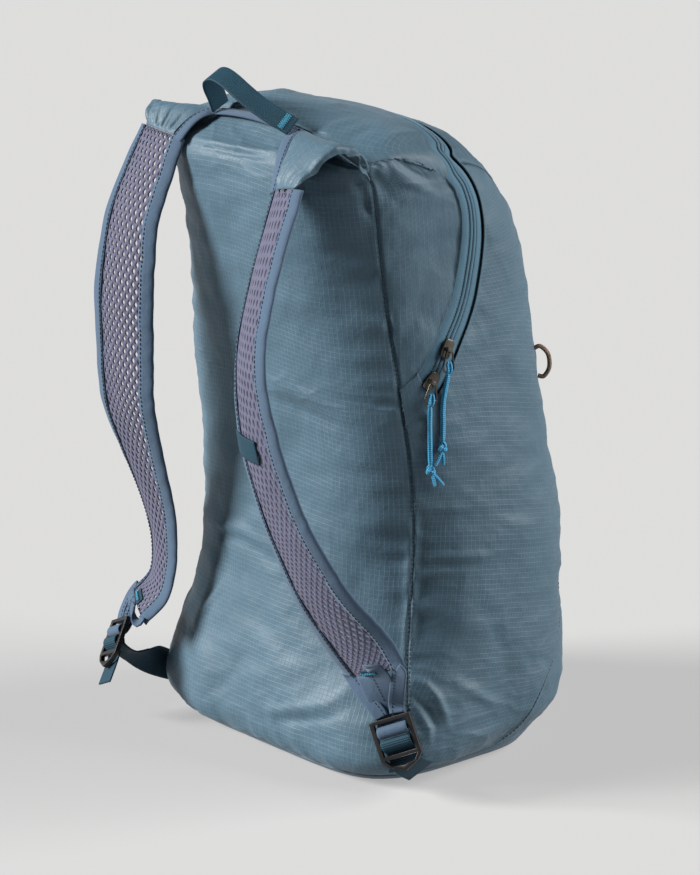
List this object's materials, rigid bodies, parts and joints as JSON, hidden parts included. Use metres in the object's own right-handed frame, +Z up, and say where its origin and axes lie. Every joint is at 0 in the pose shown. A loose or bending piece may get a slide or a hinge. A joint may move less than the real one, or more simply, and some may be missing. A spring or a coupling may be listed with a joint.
{
  "type": "packable backpack",
  "caption": "Small soft daypack of thin cloth with a zipped crown, open-net shoulder straps, ladder-lock adjusters and a webbing haul loop.",
  "frame": {"origin": "on the floor, under the middle of the flat base", "axes": "+Z up; the back panel that lies against the wearer faces -Y, the front faces +Y; +X is the side with the two sliders"},
  "size_m": [0.2841, 0.2878, 0.4617],
  "materials": {
    "ripstop": "thin ripstop cloth, satin",
    "zip_tape": "woven tape, matt",
    "zip_coil": "nylon coil, satin",
    "binding": "folded tape, matt",
    "net": "open spacer net, matt",
    "webbing": "ribbed webbing, matt",
    "steel": "dark plated, satin",
    "plastic": "moulded, satin",
    "pull_cord": "braided cord, matt",
    "loop_cord": "flecked cord, matt"
  },
  "bodies": {
    "root": {"back_panel": "ripstop", "top_panel": "ripstop", "side_panel_right": "ripstop", "side_panel_left": "ripstop", "front_panel": "ripstop", "base_panel": "ripstop", "zip_tape_lower": "zip_tape", "zip_tape_upper": "zip_tape", "zip_coil": "zip_coil", "slider_lower": "steel", "slider_upper": "steel", "bail_lower": "steel", "bail_upper": "steel", "pull_cord_lower": "pull_cord", "pull_cord_upper": "pull_cord", "pull_knot_lower": "pull_cord", "pull_knot_upper": "pull_cord", "wing_right": "ripstop", "wing_left": "ripstop", "neck_binding": "binding", "haul_loop": "webbing", "strap_net_right": "net", "strap_net_left": "net", "binding_inner_right": "binding", "binding_outer_right": "binding", "binding_inner_left": "binding", "binding_outer_left": "binding", "bartack_patch_right": "webbing", "bartack_patch_left": "webbing", "label_tape": "webbing", "strap_tongue_right": "binding", "strap_tongue_left": "binding", "buckle_right": "plastic", "buckle_left": "plastic", "lower_webbing_right": "webbing", "lower_webbing_left": "webbing", "front_loop": "loop_cord"}
  },
  "joints": []
}
